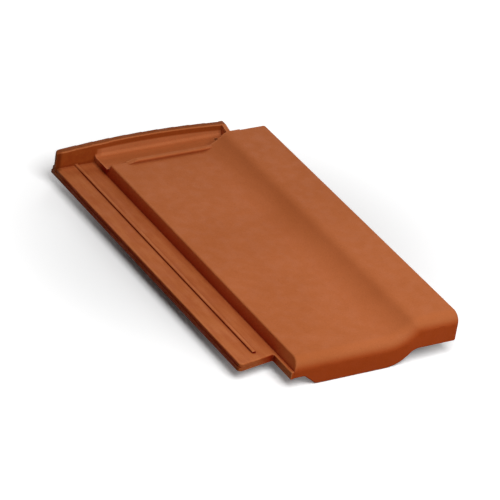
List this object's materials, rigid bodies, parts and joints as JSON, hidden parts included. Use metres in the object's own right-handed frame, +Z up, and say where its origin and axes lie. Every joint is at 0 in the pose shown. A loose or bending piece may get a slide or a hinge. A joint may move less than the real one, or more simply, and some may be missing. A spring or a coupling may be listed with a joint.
{
  "type": "interlocking clay roof tile",
  "caption": "Flat-pan clay roof tile with a raised side roll, rounded nose, side and head interlocks, a nail hole and batten nibs underneath.",
  "frame": {"origin": "centre of the tile's box, on the level floor that the nose and the nibs stand on", "axes": "+X across the tile towards the roll, +Y up the roof towards the head, +Z up out of the weathered face"},
  "size_m": [0.25, 0.44, 0.05],
  "materials": {
    "fired_clay": "matt unglazed terracotta"
  },
  "bodies": {
    "root": {"roof_tile": "fired_clay"}
  },
  "joints": []
}
